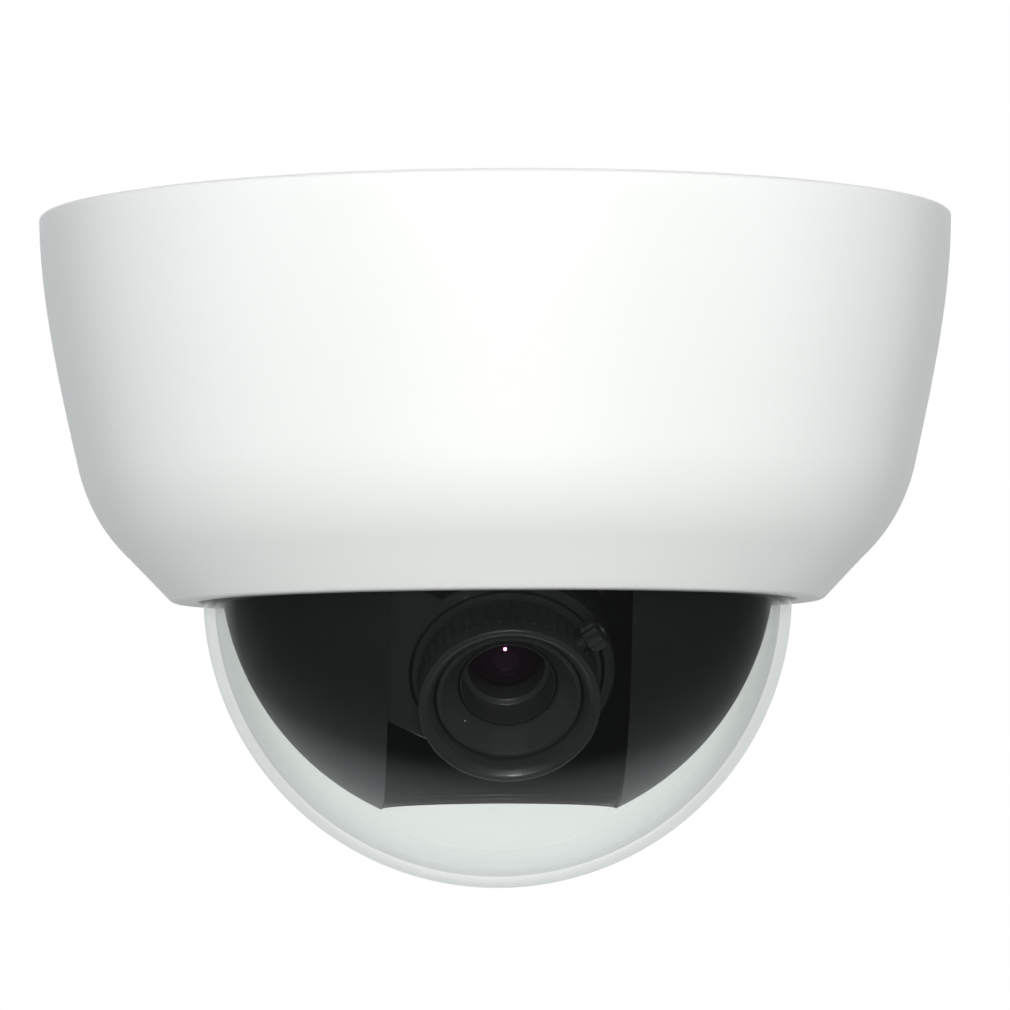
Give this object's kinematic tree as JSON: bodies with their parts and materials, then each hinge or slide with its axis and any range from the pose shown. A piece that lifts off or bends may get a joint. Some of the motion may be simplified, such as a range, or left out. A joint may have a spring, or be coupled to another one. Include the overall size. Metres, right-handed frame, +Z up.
{
  "type": "dome cctv camera",
  "caption": "Ceiling dome camera: a round white cover with a clear bubble over a black slotted liner and a panning, tilting and rolling camera module with a varifocal lens.",
  "frame": {"origin": "centre of the ceiling face of the mounting base, on the axis of the cover and bubble", "axes": "+Z up, out of the ceiling face into the ceiling; the bubble hangs towards -Z; the lens looks out towards -Y, tilted down; +X is to the right seen from the front"},
  "size_m": [0.13, 0.13, 0.0961],
  "materials": {
    "white_plastic": "satin white moulding",
    "clear_dome": "clear polycarbonate, very slightly grey-green",
    "black_plastic": "satin black moulding",
    "lens_black": "black semi-matt lens finish",
    "dark_plastic": "dark moulding, fine texture",
    "rubber": "soft black rubber",
    "screw_steel": "zinc-plated steel",
    "green_laminate": "circuit board with green solder mask",
    "terminal_blue": "moulded terminal block",
    "brass": "turned brass",
    "ivory_plastic": "natural moulding",
    "chip_black": "component body",
    "cast_alloy": "die-cast alloy",
    "coated_glass": "optical glass with a magenta coating"
  },
  "bodies": {
    "base": {"mounting_base": "white_plastic", "snap_collar": "white_plastic", "cable_grommet": "rubber", "main_board": "green_laminate", "board_screw_1": "screw_steel", "board_screw_2": "screw_steel", "board_screw_3": "screw_steel", "terminal_block": "terminal_blue", "video_socket": "brass", "harness_header": "ivory_plastic", "capacitor_large": "chip_black", "capacitor_small": "chip_black", "power_inductor": "chip_black", "pan_ring": "black_plastic", "pan_ring_screw_1": "screw_steel", "pan_ring_screw_2": "screw_steel", "pan_ring_screw_3": "screw_steel"},
    "cover": {"cover_shell": "white_plastic", "dome_bubble": "clear_dome", "dome_gasket": "rubber", "dome_retainer": "black_plastic", "retainer_screw_1": "screw_steel", "retainer_screw_2": "screw_steel", "retainer_screw_3": "screw_steel"},
    "pan_unit": {"turntable": "black_plastic", "tilt_arm_left": "black_plastic", "tilt_arm_right": "black_plastic", "arm_screw_left": "screw_steel", "arm_screw_right": "screw_steel", "liner": "black_plastic"},
    "pan_lock": {"pan_lock_screw": "dark_plastic"},
    "tilt_unit": {"tilt_ring": "black_plastic"},
    "tilt_lock_left": {"tilt_knob_left": "dark_plastic"},
    "tilt_lock_right": {"tilt_knob_right": "dark_plastic"},
    "camera_unit": {"camera_housing": "black_plastic", "housing_clip_ring": "dark_plastic", "rear_cap": "dark_plastic", "flange_screw_1": "screw_steel", "flange_screw_2": "screw_steel", "flange_screw_3": "screw_steel", "sensor_board": "green_laminate", "processor_board": "green_laminate", "board_spacer_1": "brass", "board_spacer_2": "brass", "image_sensor": "chip_black", "menu_switch": "chip_black", "lens_mount": "cast_alloy", "ir_filter": "coated_glass", "lens_barrel": "lens_black", "rear_element": "coated_glass", "iris_plate": "screw_steel", "front_element": "coated_glass", "front_bezel": "lens_black", "iris_housing": "lens_black"},
    "menu_key": {"menu_button": "ivory_plastic"},
    "zoom_unit": {"zoom_ring": "lens_black"},
    "zoom_lock": {"zoom_lock_screw": "screw_steel"},
    "focus_unit": {"focus_ring": "lens_black"},
    "focus_lock": {"focus_lock_screw": "dark_plastic"}
  },
  "joints": [
    {"name": "cover_pull", "type": "slide", "parent": "base", "child": "cover", "axis": [0, 0, -1], "range_m": [0, 0.11]},
    {"name": "pan_turn", "type": "hinge", "parent": "base", "child": "pan_unit", "pos_m": [0, 0, 0], "axis": [0, 0, 1], "range_deg": [-177, 177]},
    {"name": "pan_lock_turn", "type": "hinge", "parent": "pan_unit", "child": "pan_lock", "pos_m": [0, 0.029, 0], "axis": [0, 0, 1], "range_deg": [0, 360]},
    {"name": "tilt_turn", "type": "hinge", "parent": "pan_unit", "child": "tilt_unit", "pos_m": [0, 0, -0.05], "axis": [1, 0, 0], "range_deg": [-20, 55]},
    {"name": "tilt_lock_left_turn", "type": "hinge", "parent": "tilt_unit", "child": "tilt_lock_left", "pos_m": [0, 0, -0.05], "axis": [-1, 0, 0], "range_deg": [0, 360]},
    {"name": "tilt_lock_right_turn", "type": "hinge", "parent": "tilt_unit", "child": "tilt_lock_right", "pos_m": [0, 0, -0.05], "axis": [1, 0, 0], "range_deg": [0, 360]},
    {"name": "camera_roll", "type": "hinge", "parent": "tilt_unit", "child": "camera_unit", "pos_m": [0, 0, -0.05], "axis": [0, -0.8192, -0.5736], "range_deg": [-175, 175]},
    {"name": "menu_press", "type": "slide", "parent": "camera_unit", "child": "menu_key", "axis": [0, -0.8192, -0.5736], "range_m": [0, 0.0005], "stiffness_N_per_m": 2000, "springref_m": -0.0002},
    {"name": "zoom_turn", "type": "hinge", "parent": "camera_unit", "child": "zoom_unit", "pos_m": [0, 0, -0.05], "axis": [0, -0.8192, -0.5736], "range_deg": [-45, 45]},
    {"name": "zoom_lock_turn", "type": "hinge", "parent": "zoom_unit", "child": "zoom_lock", "pos_m": [0, -0.01196, -0.05837], "axis": [0.5, -0.4967, 0.7094], "range_deg": [0, 360]},
    {"name": "focus_turn", "type": "hinge", "parent": "camera_unit", "child": "focus_unit", "pos_m": [0, 0, -0.05], "axis": [0, -0.8192, -0.5736], "range_deg": [-60, 60]},
    {"name": "focus_lock_turn", "type": "hinge", "parent": "focus_unit", "child": "focus_lock", "pos_m": [0, -0.02621, -0.06835], "axis": [0.7986, -0.3452, 0.493], "range_deg": [0, 360]}
  ]
}
